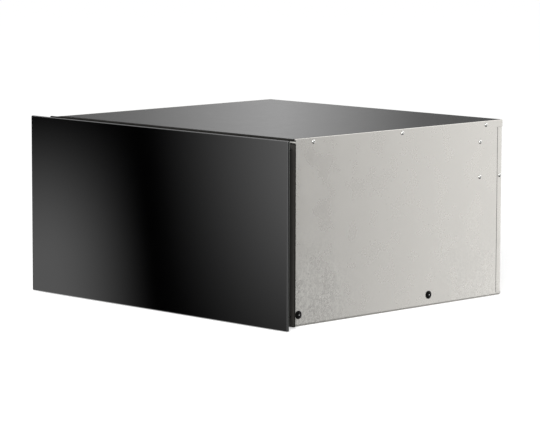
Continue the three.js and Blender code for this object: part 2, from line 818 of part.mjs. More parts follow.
function linerSupport() {
  const half = linerHalf - fixedGap;
  const front = linerFront + fixedGap;
  const back = linerBack - fixedGap;
  const windowHalf = half - hotplateWindowInset;
  const plate = block(-half, half, front, back, supportBottom, supportTop);
  const window = block(-windowHalf, windowHalf, front + hotplateWindowInset, back - hotplateWindowInset,
    supportBottom - overrun, supportTop + overrun);
  return cut(plate, [window]);
}

// Side to side runs joined by half-round bends.
function serpentine(runs, pitch, span, centreY, z) {
  const bendSteps = 8;
  const points = [];
  for (let run = 0; run < runs; run += 1) {
    const y = centreY + (run - (runs - 1) / 2) * pitch;
    const direction = run % 2 === 0 ? 1 : -1;
    points.push(new THREE.Vector3(-direction * span / 2, y, z));
    points.push(new THREE.Vector3(direction * span / 2, y, z));
    if (run < runs - 1) {
      for (let i = 1; i < bendSteps; i += 1) {
        const angle = -Math.PI / 2 + Math.PI * i / bendSteps;
        points.push(new THREE.Vector3(
          direction * (span / 2 + (pitch / 2) * Math.cos(angle)),
          y + (pitch / 2) * (1 + Math.sin(angle)),
          z));
      }
    }
  }
  return points;
}

// A plate as wide and deep as the inside of the liner, less a gap all round.
function linerPlate(gap, z0, z1) {
  const half = linerHalf - gap;
  return block(-half, half, linerFront + gap, linerBack - gap, z0, z1);
}

// A wall of the liner across the drawer, with its front face at y.
function linerCrossWall(y) {
  return block(-betweenRims, betweenRims, y, y + linerSheet, supportBottom, linerHigh);
}

function linerSideWall(side) {
  return block(side * linerHalf, side * betweenRims, linerFront, linerBack, supportBottom, linerHigh);
}

function baseHeater() {
  const middleY = (linerFront + linerBack) / 2;
  const points = serpentine(baseHeaterRuns, baseHeaterPitch, baseHeaterSpan, middleY, heaterAxisZ);
  return tube(points, baseHeaterTube, 8);
}

const linerHigh = drawerTop - sheet - fixedGap;
const floorPlate = block(-betweenSides, betweenSides, drawerFront, drawerBack,
  drawerBottom, drawerBottom + sheet);

addPiece(drawer, 'drawer_floor', floorPlate, galvanised);
addPiece(drawer, 'drawer_back', drawerBackPanel(), galvanised);
for (const [name, side] of bothSides) {
  addPiece(drawer, `drawer_side_${name}`, drawerSide(side), stainless);
  addPiece(drawer, `liner_${name}`, linerSideWall(side), stainless);
}
addPiece(drawer, 'liner_front', linerCrossWall(linerFront - fixedGap - linerSheet), stainless);
addPiece(drawer, 'liner_back',
  cut(linerCrossWall(linerBack + fixedGap), airSlots(linerBack + fixedGap)), stainless);
addPiece(drawer, 'hotplate_support', linerSupport(), stainless);
addPiece(drawer, 'glass_hotplate', linerPlate(fixedGap, hotplateBottom, hotplateTop), hotplateGlass);
addPiece(drawer, 'base_heater', baseHeater(), heaterSteel);
addPiece(drawer, 'heat_reflector',
  linerPlate(0, reflectorBottom, reflectorBottom + reflectorSheet), stainless);
addPiece(drawer, 'base_insulation',
  linerPlate(0, insulationBottom, insulationBottom + insulationHeight), insulationWool);

// ---------------------------------------------------------------- control ledge

const ledgeTop = drawerTop;
const ledgeUnder = drawerTop - sheet;
const ledgeBack = linerFront - 2 * fixedGap - linerSheet;
const switchTop = ledgeUnder - fixedGap;
const lensX = knobX - lensSpacing;

function controlLedge() {
  const plate = block(-betweenRims, betweenRims, drawerFront, ledgeBack, ledgeUnder, ledgeTop);
  const below = ledgeUnder - overrun;
  const above = ledgeTop + overrun;
  const shaftHole = rodZ(knobX, ledgeY, below, above, knobShaftRadius + screwFit, 20);
  const lensHole = rodZ(lensX, ledgeY, below, above, lensRadius + fixedGap, 20);
  return cut(plate, [shaftHole, lensHole]);
}

function selectorSwitch() {
  const half = switchSize / 2;
  const body = block(knobX - half, knobX + half, ledgeY - half, ledgeY + half,
    switchTop - switchHeight, switchTop);
  const bore = rodZ(knobX, ledgeY, switchTop - switchHeight / 2, switchTop + overrun,
    knobShaftRadius + knobRunningGap, 20);
  return cut(body, [bore]);
}

const shaftBottom = switchTop - switchHeight / 2 + knobRunningGap;
const knobBottom = ledgeTop + knobRunningGap;
const shaftTop = knobBottom + knobHeight / 2;

function controlKnob() {
  const ribs = Array.from({ length: knobRibs * 2 }, (_, i) => {
    const angle = (i / (knobRibs * 2)) * 2 * Math.PI;
    const radius = knobRadius - (i % 2 ? knobRibDepth : 0);
    return [knobX + radius * Math.cos(angle), ledgeY + radius * Math.sin(angle)];
  });
  const body = prismZ(ribs, knobBottom, knobBottom + knobHeight);
  const bore = rodZ(knobX, ledgeY, knobBottom - overrun, shaftTop + fixedGap,
    knobShaftRadius + fixedGap, 20);
  const knobTop = knobBottom + knobHeight;
  const mark = block(knobX - knobMark / 2, knobX + knobMark / 2, ledgeY - knobRadius - overrun,
    ledgeY - knobRadius / 2, knobTop - knobMark, knobTop + overrun);
  return cut(body, [bore, mark]);
}

function indicatorLens() {
  const profile = [
    [0, ledgeUnder - lensDepth],
    [lensRadius, ledgeUnder - lensDepth],
    ...domeProfile(lensRadius, ledgeTop, lensRise),
  ];
  return turned(profile, 20).translate(lensX, ledgeY, 0);
}

addPiece(drawer, 'control_ledge', controlLedge(), stainless);
addPiece(drawer, 'selector_switch', selectorSwitch(), whitePlastic);
addPiece(drawer, 'indicator_lens', indicatorLens(), amberLens);
addPiece(knob, 'control_knob', controlKnob(), blackPlastic);
addPiece(knob, 'knob_shaft',
  rodZ(knobX, ledgeY, shaftBottom, shaftTop, knobShaftRadius, 20), zincSteel);

// ---------------------------------------------------------------- air chamber

function airBaffle() {
  const high = casingHeight - sheet - fixedGap;
  const half = insideFace - sheet - fixedGap;
  const outline = [
    [-half, baffleBottom],
    [half, baffleBottom],
    [half, high - foldRadius],
    [half - foldRadius, high],
    [-half + foldRadius, high],
    [-half, high - foldRadius],
  ];
  const plate = prismY(outline, baffleFront, baffleBack);
  const flangeTop = casingHeight - baffleFlangeDrop;
  const flangeLow = flangeTop - baffleFlangeHeight;
  const flangeFront = baffleFront - baffleFlange;
  const flanges = sideSigns.map((side) => (
    block(side * (half - sheet), side * insideFace, flangeFront, baffleBack, flangeLow, flangeTop)));
  const folds = sideSigns.map((side) => (
    block(side * (half - sheet - overrun), side * (insideFace - sheet), flangeFront - overrun,
      baffleFront, flangeLow - overrun, flangeTop + overrun)));
  const intakeUp = fanRadius / 2;
  const intake = slotCutters(0, intakeCount, intakePitch, airSlotWidth, baffleBack,
    fanHeight - intakeUp, fanHeight + intakeUp);
  const outlets = sideSigns.flatMap((side) => (
    slotCutters(side * outletCentre, outletCount, airSlotPitch, airSlotWidth, baffleBack,
      airSlotLow, airSlotHigh)));
  return cut(joined(plate, ...flanges), [...folds, ...intake, ...outlets]);
}

function fanWheel() {
  const disc = rodY(0, fanBack - fanDisc, fanBack, fanHeight, fanRadius, 36);
  const hub = rodY(0, fanFront, fanBack, fanHeight, fanHubRadius, 20);
  const blades = Array.from({ length: fanBlades }, (_, i) => {
    const blade = block(-fanBladeWall / 2, fanBladeWall / 2, fanFront, fanBack - fanDisc / 2,
      fanHubRadius - fanBladeWall, fanRadius - fanBladeWall);
    return blade.rotateY((i / fanBlades) * 2 * Math.PI).translate(0, 0, fanHeight);
  });
  const bore = rodY(0, fanFront - overrun, fanBack + overrun, fanHeight,
    motorShaftRadius + fixedGap, 16);
  return cut(joined(disc, hub, ...blades), [bore]);
}

function fanMotor() {
  const can = rodY(0, motorFront, motorBack, fanHeight, motorRadius, 28);
  const bossFront = motorFront - motorBearing;
  const boss = rodY(0, bossFront, motorFront + sheet, fanHeight, motorBossRadius, 20);
  const bore = rodY(0, bossFront - overrun, motorBack - motorFloor, fanHeight,
    motorShaftRadius + motorFit, 16);
  return cut(joined(can, boss), [bore]);
}

function motorBracket() {
  const back = rearInner - fixedGap;
  return block(-motorBracketWidth / 2, motorBracketWidth / 2, back - sheet, back,
    fanHeight - motorBracketHeight / 2, fanHeight + motorBracketHeight / 2);
}

// An open ring round the fan wheel.
function ringHeater() {
  const y = baffleBack + ringHeaterSetback;
  const foot = -90;
  const ring = arc(0, fanHeight, ringHeaterRadius, foot + ringHeaterOpening / 2,
    foot + 360 - ringHeaterOpening / 2, 32);
  return tube(ring.map(([x, z]) => new THREE.Vector3(x, y, z)), ringHeaterTube, 8);
}

function controlBoard() {
  const wall = rearInner - fixedGap;
  const back = wall - boardStandoff;
  const front = back - boardThickness;
  const half = boardWidth / 2;
  const board = block(boardX - half, boardX + half, front, back, boardLow, boardLow + boardHeight);
  const inside = (front + back) / 2;
  const relays = Array.from({ length: relayCount }, (_, i) => {
    const x = boardX + (i - (relayCount - 1) / 2) * relayPitch;
    const low = boardLow + relayLow;
    return block(x - relaySize / 2, x + relaySize / 2, front - relayDepth, inside, low, low + relaySize);
  });
  const posts = sideSigns.map((side) => (
    rodY(boardX + side * (half - boardPostInset), inside, wall, boardLow + boardPostInset,
      boardPostRadius, 12)));
  return joined(board, ...relays, ...posts);
}

function mainsInlet() {
  // A block around the inlet's axis, larger than the inlet's body by margin on each edge.
  const aroundAxis = (margin, y0, y1) => {
    const half = inletWidth / 2 + margin;
    const up = inletHeight / 2 + margin;
    return block(inletX - half, inletX + half, y0, y1, inletZ - up, inletZ + up);
  };
  const inner = rearFace - inletDepth;
  const outer = rearFace + inletFlangeThickness;
  const body = aroundAxis(0, inner, outer);
  const flange = aroundAxis(inletFlangeLip, rearFace + fixedGap, outer);
  const socket = aroundAxis(-inletWall, inner + inletWall, outer + overrun);
  const pinPlaces = [[-inletPinSpread, -inletPinDrop], [0, inletPinDrop], [inletPinSpread, -inletPinDrop]];
  const pins = pinPlaces.map(([dx, dz]) => {
    const x = inletX + dx;
    const z = inletZ + dz;
    return block(x - inletPinHalf, x + inletPinHalf, inner + inletWall / 2, rearFace - inletPinSetback,
      z - 2 * inletPinHalf, z + 2 * inletPinHalf);
  });
  return joined(cut(joined(body, flange), [socket]), ...pins);
}

function terminalBox() {
  const back = rearFace - inletDepth - fixedGap;
  const low = sheet + fixedGap;
  return block(inletX - terminalWidth / 2, inletX + terminalWidth / 2, back - terminalDepth, back,
    low, low + terminalHeight);
}

function thermostat() {
  const front = baffleBack + fixedGap;
  return rodY(thermostatX, front, front + thermostatDepth, thermostatZ, thermostatRadius, 20);
}

function fanShaft() {
  const end = motorBack - motorFloor - 2 * motorFit;
  return rodY(0, fanFront, end, fanHeight, motorShaftRadius, 16);
}

addPiece(casing, 'air_baffle', airBaffle(), galvanised);
addPiece(casing, 'ring_heater', ringHeater(), heaterSteel);
addPiece(casing, 'fan_motor', fanMotor(), blackPlastic);
addPiece(casing, 'motor_bracket', motorBracket(), zincSteel);
addPiece(casing, 'thermostat', thermostat(), whitePlastic);
addPiece(casing, 'control_board', controlBoard(), boardGreen);
addPiece(casing, 'mains_inlet', mainsInlet(), blackPlastic);
addPiece(casing, 'terminal_box', terminalBox(), whitePlastic);
addPiece(fan, 'fan_wheel', fanWheel(), zincSteel);
addPiece(fan, 'fan_shaft', fanShaft(), zincSteel);

// ---------------------------------------------------------------- push latch

const plungerEnd = plungerTip + plungerLength;

function latchHousing() {
  const low = sheet + fixedGap;
  const body = block(-latchWidth / 2, latchWidth / 2, latchFront, latchFront + latchLength,
    low, low + latchHeight);
  const bore = rodY(0, latchFront - overrun, plungerEnd + plungerTravel + plungerFit, latchAxis,
    plungerRadius + plungerFit, 20);
  return cut(body, [bore]);
}

function latchStriker() {
  const front = drawerBack + fixedGap;
  return block(-strikerWidth / 2, strikerWidth / 2, front, front + strikerThickness,
    latchAxis - strikerHeight / 2, latchAxis + strikerHeight / 2);
}

addPiece(casing, 'latch_housing', latchHousing(), blackPlastic);
addPiece(latch, 'latch_plunger',
  rodY(0, plungerTip, plungerEnd, latchAxis, plungerRadius, 20), whitePlastic);
addPiece(drawer, 'latch_striker', latchStriker(), blackRubber);

// ---------------------------------------------------------------- whole object

const warmingDrawer = new THREE.Group();
drawer.add(knob);
casing.add(drawer, middleRunnerLeft, middleRunnerRight, fan, latch);
warmingDrawer.add(casing);

export default warmingDrawer;
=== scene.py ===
"""The looks of a built-in warming drawer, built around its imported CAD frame.

Metres, with +Z up and the drawer's front towards -Y.
"""

import math

import bmesh
import bpy
from mathutils import Matrix, Vector


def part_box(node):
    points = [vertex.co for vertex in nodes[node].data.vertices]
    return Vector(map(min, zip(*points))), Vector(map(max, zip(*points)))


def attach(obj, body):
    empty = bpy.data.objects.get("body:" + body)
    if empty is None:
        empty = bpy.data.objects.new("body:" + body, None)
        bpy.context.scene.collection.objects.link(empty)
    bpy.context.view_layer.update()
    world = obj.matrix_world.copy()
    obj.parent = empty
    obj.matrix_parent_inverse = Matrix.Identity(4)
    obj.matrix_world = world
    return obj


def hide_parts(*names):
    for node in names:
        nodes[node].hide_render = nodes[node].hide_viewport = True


MM = 0.001

# ------------------------------------------------------------------ frame and places read from it

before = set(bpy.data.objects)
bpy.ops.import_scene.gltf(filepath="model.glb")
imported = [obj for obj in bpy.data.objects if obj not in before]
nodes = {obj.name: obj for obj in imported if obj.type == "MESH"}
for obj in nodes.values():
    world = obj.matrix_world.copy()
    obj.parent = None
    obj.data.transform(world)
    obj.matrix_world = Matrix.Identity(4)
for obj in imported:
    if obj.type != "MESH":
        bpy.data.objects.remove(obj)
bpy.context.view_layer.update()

glass_low, glass_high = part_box("glass_front")
rear_low, rear_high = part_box("rear_panel")
baffle_low, baffle_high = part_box("air_baffle")
frame_low, frame_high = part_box("front_frame")

SIDE_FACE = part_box("side_panel_right")[1].x     # outside of the side panels
SIDES = (("left", -1), ("right", 1))


def middle(node):
    """The middle of a CAD node's box."""
    low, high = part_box(node)
    return (low + high) / 2


# ------------------------------------------------------------------ node helpers


class Tree:
    """A material's or world's node tree, with short calls to add and join nodes."""

    def __init__(self, owner):
        owner.use_nodes = True
        self.tree = owner.node_tree
        self.tree.nodes.clear()

    def add(self, kind, **settings):
        node = self.tree.nodes.new(kind)
        for name, value in settings.items():
            setattr(node, name, value)
        return node

    def join(self, output, target):
        self.tree.links.new(output, target)

    def put(self, value, target):
        """A link where value is another node's output, and a plain number otherwise."""
        if isinstance(value, bpy.types.NodeSocket):
            self.join(value, target)
        else:
            target.default_value = value

    def math(self, operation, first, second):
        node = self.add("ShaderNodeMath", operation=operation)
        self.put(first, node.inputs[0])
        self.put(second, node.inputs[1])
        return node.outputs[0]

    def product(self, value, *factors):
        for factor in factors:
            value = self.math("MULTIPLY", value, factor)
        return value

    def place(self, scale=(1, 1, 1)):
        """Positions on the object, stretched by scale. They stay with the surface as it moves."""
        coordinates = self.add("ShaderNodeTexCoord")
        mapping = self.add("ShaderNodeMapping")
        mapping.inputs["Scale"].default_value = scale
        self.join(coordinates.outputs["Object"], mapping.inputs["Vector"])
        return mapping.outputs[0]

    def parts(self, vector):
        """The x, y and z of a vector."""
        node = self.add("ShaderNodeSeparateXYZ")
        self.join(vector, node.inputs[0])
        return list(node.outputs)

    def normal(self):
        """The surface's direction along the object's axes."""
        return self.add("ShaderNodeTexCoord").outputs["Normal"]

    def facing(self):
        """How far the surface faces along each of the object's axes, 0 to 1."""
        size = self.add("ShaderNodeVectorMath", operation="ABSOLUTE")
        self.join(self.normal(), size.inputs[0])
        return self.parts(size.outputs[0])

    def noise(self, vector, scale, detail=2, roughness=0.5, distortion=0.0):
        node = self.add("ShaderNodeTexNoise")
        self.join(vector, node.inputs["Vector"])
        node.inputs["Scale"].default_value = scale
        node.inputs["Detail"].default_value = detail
        node.inputs["Roughness"].default_value = roughness
        node.inputs["Distortion"].default_value = distortion
        return node.outputs["Fac"]

    def cells(self, vector, scale, feature="F1"):
        node = self.add("ShaderNodeTexVoronoi", feature=feature)
        self.join(vector, node.inputs["Vector"])
        node.inputs["Scale"].default_value = scale
        return node.outputs["Distance"]

    def spread(self, value, span, result):
        """value brought smoothly from span to result, and held at the ends. Either may fall."""
        if span[0] > span[1]:
            span = span[::-1]
            result = result[::-1]
        node = self.add("ShaderNodeMapRange", clamp=True, interpolation_type="SMOOTHSTEP")
        self.join(value, node.inputs["Value"])
        node.inputs["From Min"].default_value = span[0]
        node.inputs["From Max"].default_value = span[1]
        node.inputs["To Min"].default_value = result[0]
        node.inputs["To Max"].default_value = result[1]
        return node.outputs[0]

    def blend(self, share, first, second):
        node = self.add("ShaderNodeMix", data_type="RGBA")
        self.put(share, node.inputs["Factor"])
        self.put(first, node.inputs["A"])
        self.put(second, node.inputs["B"])
        return node.outputs["Result"]

    def bump(self, height, depth, strength, after=None):
        """Surface relief of that depth in metres where height goes from 0 to 1."""
        node = self.add("ShaderNodeBump")
        node.inputs["Strength"].default_value = strength
        node.inputs["Distance"].default_value = depth
        self.join(height, node.inputs["Height"])
        if after is not None:
            self.join(after, node.inputs["Normal"])
        return node.outputs["Normal"]


class Finish(Tree):
    """A material with one Principled shader, whose uniform values are set on its own sockets."""

    def __init__(self, name, **uniform):
        self.material = bpy.data.materials.new(name)
        super().__init__(self.material)
        self.surface = self.add("ShaderNodeBsdfPrincipled")
        output = self.add("ShaderNodeOutputMaterial")
        self.join(self.surface.outputs[0], output.inputs["Surface"])
        for socket, value in uniform.items():
            self.surface.inputs[socket.replace("_", " ")].default_value = value

    def dress(self, base, roughness, normal=None):
        """The material, with its colour, roughness and relief joined."""
        self.join(base, self.surface.inputs["Base Color"])
        self.join(roughness, self.surface.inputs["Roughness"])
        if normal is not None:
            self.join(normal, self.surface.inputs["Normal"])
        return self.material


def colour(red, green, blue):
    return (red, green, blue, 1.0)


def grey(level):
    return colour(level, level, level)


# ------------------------------------------------------------------ materials

# Depths and heights over which the zinc's mottling comes and goes.
MOTTLED_FRONT = (-210 * MM, -80 * MM)
MOTTLED_REAR = (20 * MM, 160 * MM)
MOTTLED_FOOT = (30 * MM, 170 * MM)


def galvanised_steel():
    """Zinc coated sheet: a smooth satin face, mottled towards its foot and ends, with a few dark pits."""
    zinc = Finish("galvanised_steel_look", Metallic=0.95)
    place = zinc.place()
    depth, height = zinc.parts(place)[1:]
    front = zinc.spread(depth, MOTTLED_FRONT, (1, 0.05))
    rear = zinc.spread(depth, MOTTLED_REAR, (0, 0.45))
    foot = zinc.spread(height, MOTTLED_FOOT, (1, 0.08))
    patches = zinc.spread(zinc.noise(place, scale=9), (0.35, 0.6), (0.3, 1))
    mottling = zinc.product(zinc.math("MAXIMUM", front, rear), foot, patches)
    grain = zinc.noise(place, scale=210, distortion=1.4)
    crests = zinc.spread(grain, (0.38, 0.62), (0, 1))
    worms = zinc.blend(crests, colour(0.42, 0.41, 0.39), colour(0.56, 0.55, 0.52))
    clouds = zinc.noise(place, scale=26, detail=4, roughness=0.6)
    smooth = zinc.blend(clouds, colour(0.491, 0.476, 0.448), colour(0.511, 0.498, 0.472))
    mottled = zinc.blend(mottling, smooth, worms)
    pits = zinc.spread(zinc.cells(place, scale=40), (0.02, 0.05), (0.5, 0))
    wave = zinc.bump(zinc.noise(place, scale=9, detail=1), depth=0.5 * MM, strength=0.3)
    return zinc.dress(
        base=zinc.blend(pits, mottled, colour(0.18, 0.17, 0.16)),
        roughness=zinc.spread(clouds, (0.25, 0.75), (0.25, 0.32)),
        normal=zinc.bump(zinc.product(grain, mottling), depth=0.02 * MM, strength=0.3, after=wave),
    )


def top_steel():
    """Darker coated sheet of the top: long faint streaks across it, and dull blotches."""
    steel = Finish("top_steel_look", Metallic=1.0)
    streaks = steel.noise(steel.place((2, 34, 1)), scale=14, detail=6, roughness=0.65)
    clouds = steel.noise(steel.place(), scale=11, detail=3)
    blotches = steel.noise(steel.place((1, 0.6, 1)), scale=70, detail=4, roughness=0.65)
    tone = steel.blend(clouds, grey(0.26), grey(0.29))
    lined = steel.blend(steel.spread(streaks, (0.45, 0.75), (0, 0.35)), tone, grey(0.34))
    return steel.dress(
        base=steel.blend(steel.spread(blotches, (0.5, 0.68), (0, 0.3)), lined, grey(0.20)),
        roughness=steel.spread(streaks, (0.2, 0.8), (0.17, 0.23)),
        normal=steel.bump(clouds, depth=0.2 * MM, strength=0.3),
    )


PAINTED_LIGHT_TOP = 281 * MM                   # height below which the frame's front and back faces are painted paler, as painted light
PAINTED_LIGHT_FADE = 3 * MM


def black_paint():
    """Brown-black powder coat with a fine orange peel, with painted light and shade: paler front and back
    faces below the top, darker top and other faces.
    """
    paint = Finish("black_paint_look", Metallic=0.0, Specular_IOR_Level=0.05)
    place = paint.place()
    peel = paint.noise(place, scale=900)
    clouds = paint.noise(place, scale=30, detail=3)
    # painted shade and painted light: one paint, darker where the top and side faces are shaded, paler on
    # lit front and back faces
    painted_shade_paint = paint.blend(clouds, colour(0.007, 0.007, 0.006), colour(0.011, 0.010, 0.009))
    painted_lit_paint = paint.blend(clouds, colour(0.038, 0.036, 0.033), colour(0.047, 0.044, 0.041))
    below = paint.spread(paint.parts(place)[2], (PAINTED_LIGHT_TOP, PAINTED_LIGHT_TOP + PAINTED_LIGHT_FADE), (1, 0))
    forward = paint.spread(paint.facing()[1], (0.4, 0.8), (0, 1))
    return paint.dress(
        base=paint.blend(paint.product(below, forward), painted_shade_paint, painted_lit_paint),
        roughness=paint.spread(clouds, (0.2, 0.8), (0.75, 0.88)),
        normal=paint.bump(peel, depth=0.06 * MM, strength=0.5),
    )


HIGHLIGHT_RIM_DEPTH = 1.6 * MM                     # depth of the pale band painted on the glass front's edge at its back, a painted highlight of its rear arris
GROUND_ROUGHNESS = 0.25                 # of the glass front's arrises


def black_glass():
    """Opaque black glass: polished faces with a breath of smears, ground arrises, and a pale band painted
    along its rear edge as a painted highlight of the rear arris."""
    glass = Finish("black_glass_look", Metallic=0.0, IOR=1.52, Specular_IOR_Level=0.5)
    place = glass.place()
    depth = glass.parts(place)[1]
    across, forward, upward = glass.facing()
    smears = glass.noise(glass.place((1, 1, 2.4)), scale=7, detail=4, roughness=0.6)
    cloud = glass.noise(place, scale=3, detail=1)
    straight = glass.math("MAXIMUM", glass.math("MAXIMUM", across, forward), upward)
    arris = glass.spread(straight, (0.90, 0.99), (1, 0))
    behind = glass.spread(depth, (glass_high.y - HIGHLIGHT_RIM_DEPTH, glass_high.y - HIGHLIGHT_RIM_DEPTH / 2), (0, 1))
    sideways = glass.spread(forward, (0.5, 0.9), (1, 0))
    face = glass.blend(cloud, grey(0.0003), colour(0.0005, 0.0005, 0.0006))
    ground = glass.blend(smears, grey(0.034), colour(0.044, 0.044, 0.045))
    edged = glass.blend(arris, face, ground)
    polish = glass.spread(smears, (0.3, 0.8), (0.025, 0.04))
    return glass.dress(
        # painted highlight: a pale green-grey band on the sides of the glass's rear edge
        base=glass.blend(glass.product(behind, sideways), edged, colour(0.055, 0.064, 0.056)),
        roughness=glass.math("MAXIMUM", polish, glass.product(arris, GROUND_ROUGHNESS)),
    )


def stainless():
    """Brushed stainless sheet, its lines running across the drawer."""
    steel = Finish("stainless_look", Metallic=0.95)
    lines = steel.noise(steel.place((2, 2, 260)), scale=9, detail=5, roughness=0.7)
    across = steel.noise(steel.place((1, 160, 160)), scale=6, detail=3)
    brushed = steel.product(steel.math("ADD", lines, across), 0.5)
    return steel.dress(
        base=steel.blend(brushed, colour(0.46, 0.46, 0.45), colour(0.64, 0.64, 0.63)),
        roughness=steel.spread(brushed, (0.3, 0.7), (0.27, 0.38)),
        normal=steel.bump(brushed, depth=0.02 * MM, strength=0.6),
    )


def hotplate_glass():
    """Dark glass plate of the drawer's floor, lightly smeared."""
    glass = Finish("hotplate_glass_look", Metallic=0.0, IOR=1.5)
    smears = glass.noise(glass.place(), scale=14, detail=4)
    return glass.dress(
        base=glass.blend(smears, colour(0.008, 0.008, 0.009), colour(0.014, 0.014, 0.016)),
        roughness=glass.spread(smears, (0.3, 0.7), (0.10, 0.18)),
    )


def black_rubber():
    """Matt silicone rubber with a dusty bloom."""
    rubber = Finish("black_rubber_look", Metallic=0.0)
    bloom = rubber.noise(rubber.place(), scale=60, detail=4)
    return rubber.dress(
        base=rubber.blend(bloom, grey(0.010), colour(0.024, 0.024, 0.025)),
        roughness=rubber.spread(bloom, (0.2, 0.8), (0.72, 0.88)),
        normal=rubber.bump(bloom, depth=0.05 * MM, strength=0.5),
    )


def moulded_plastic(name, dark, light, roughness):
    """Moulded plastic with a fine spark-eroded grain."""
    plastic = Finish(name, Metallic=0.0)
    place = plastic.place()
    grain = plastic.noise(place, scale=1500, detail=1)
    clouds = plastic.noise(place, scale=45, detail=3)
    return plastic.dress(
        base=plastic.blend(clouds, dark, light),
        roughness=plastic.spread(grain, (0.2, 0.8), roughness),
        normal=plastic.bump(grain, depth=0.04 * MM, strength=0.5),
    )


def black_plastic():
    dark = colour(0.010, 0.010, 0.011)
    light = colour(0.017, 0.017, 0.018)
    return moulded_plastic("black_plastic_look", dark, light, roughness=(0.36, 0.50))


def white_plastic():
    dark = colour(0.60, 0.59, 0.56)
    light = colour(0.68, 0.67, 0.64)
    return moulded_plastic("white_plastic_look", dark, light, roughness=(0.42, 0.56))


def amber_lens():
    """Clear amber lens over a small lamp."""
    lens = Finish("amber_lens_look", Metallic=0.0, IOR=1.49, Coat_Weight=0.6)
    facets = lens.cells(lens.place(), scale=900)
    return lens.dress(
        base=lens.blend(facets, colour(0.55, 0.19, 0.02), colour(0.80, 0.36, 0.05)),
        roughness=lens.spread(facets, (0, 1), (0.12, 0.25)),
    )


def heater_steel():
    """Steel tube, browned and blued by heat."""
    steel = Finish("heater_steel_look", Metallic=0.8)
    place = steel.place()
    heat = steel.noise(place, scale=22, detail=4, roughness=0.65)
    return steel.dress(
        base=steel.blend(heat, colour(0.10, 0.085, 0.075), colour(0.27, 0.23, 0.20)),
        roughness=steel.spread(heat, (0.2, 0.8), (0.38, 0.6)),
        normal=steel.bump(steel.noise(place, scale=500), depth=0.04 * MM, strength=0.5),
    )


def zinc_steel():
    """Bright zinc plate on small steel parts, with painted shade on their undersides."""
    zinc = Finish("zinc_steel_look", Metallic=0.9)
    place = zinc.place()
    bloom = zinc.noise(place, scale=120, detail=4, roughness=0.6)
    bright = zinc.blend(bloom, colour(0.52, 0.52, 0.51), colour(0.66, 0.66, 0.64))
    # painted shade: faces that turn downwards are darkened
    painted_underside_shade = zinc.spread(zinc.parts(zinc.normal())[2], (-0.45, -0.1), (1, 0))
    return zinc.dress(
        base=zinc.blend(painted_underside_shade, bright, grey(0.12)),
        roughness=zinc.spread(bloom, (0.25, 0.75), (0.16, 0.26)),
        normal=zinc.bump(zinc.noise(place, scale=700), depth=0.01 * MM, strength=0.4),
    )


def black_screw():
    """Blackened steel with oil still in its grain."""
    steel = Finish("black_screw_look", Metallic=0.0, Specular_IOR_Level=0.06)
    grain = steel.noise(steel.place(), scale=800, detail=3)
    return steel.dress(
        base=steel.blend(grain, grey(0.001), grey(0.003)),
        roughness=steel.spread(grain, (0.2, 0.8), (0.24, 0.36)),
        normal=steel.bump(grain, depth=0.02 * MM, strength=0.5),
    )


def insulation():
    """Compressed mineral wool."""
    wool = Finish("insulation_look", Metallic=0.0)
    fibres = wool.noise(wool.place((1, 5, 3)), scale=240, detail=6, roughness=0.8, distortion=1.2)
    return wool.dress(
        base=wool.blend(fibres, colour(0.42, 0.33, 0.15), colour(0.74, 0.64, 0.38)),
        roughness=wool.spread(fibres, (0.2, 0.8), (0.85, 1.0)),
        normal=wool.bump(fibres, depth=1.2 * MM, strength=0.9),
    )


def board_green():
    """Circuit board lacquer over a faint pattern of tracks."""
    board = Finish("board_green_look", Metallic=0.0, Coat_Weight=0.3)
    tracks = board.cells(board.place(), scale=260, feature="DISTANCE_TO_EDGE")
    between = board.spread(tracks, (0.02, 0.12), (0, 1))
    return board.dress(
        base=board.blend(between, colour(0.05, 0.20, 0.09), colour(0.02, 0.10, 0.045)),
        roughness=board.spread(tracks, (0.0, 0.3), (0.35, 0.5)),
        normal=board.bump(tracks, depth=0.1 * MM, strength=0.4),
    )


FINISHES = {
    "galvanised_steel": galvanised_steel(),
    "top_steel": top_steel(),
    "black_paint": black_paint(),
    "black_glass": black_glass(),
    "stainless": stainless(),
    "hotplate_glass": hotplate_glass(),
    "black_rubber": black_rubber(),
    "black_plastic": black_plastic(),
    "white_plastic": white_plastic(),
    "amber_lens": amber_lens(),
    "heater_steel": heater_steel(),
    "zinc_steel": zinc_steel(),
    "black_screw": black_screw(),
    "insulation": insulation(),
    "board_green": board_green(),
}

# ------------------------------------------------------------------ CAD nodes: finish and eased edges

WELD_DISTANCE = 0.002 * MM
FLAT_ANGLE = math.radians(0.5)          # faces that turn less than this become one
EDGE_ANGLE = math.radians(30)           # edges that turn more than this are rounded
EDGE_SEGMENTS = 2
FACE_WEIGHT = 100                       # the largest face at a corner decides how it is shaded
DEFAULT_ROUND = 0.2 * MM
EDGE_ROUND = {
    "top_plate": 0.25 * MM,
    "front_frame": 0.35 * MM,
    "front_carrier": 0.8 * MM,
    "front_seal": 1.0 * MM,
    "glass_hotplate": 0.8 * MM,
    "control_board": 0.3 * MM,
    "latch_housing": 1.0 * MM,
    "mains_inlet": 0.6 * MM,
    "terminal_box": 1.5 * MM,
    "selector_switch": 1.0 * MM,
    "fan_motor": 1.2 * MM,
    "base_insulation": 2.0 * MM,
}


def shade_smooth(mesh):
    for face in mesh.polygons:
        face.use_smooth = True


def keep_faces_flat(item):
    """Shades the large faces flat and lets only the rounded edges turn the light."""
    shade = item.modifiers.new("shade", "WEIGHTED_NORMAL")
    shade.weight = FACE_WEIGHT


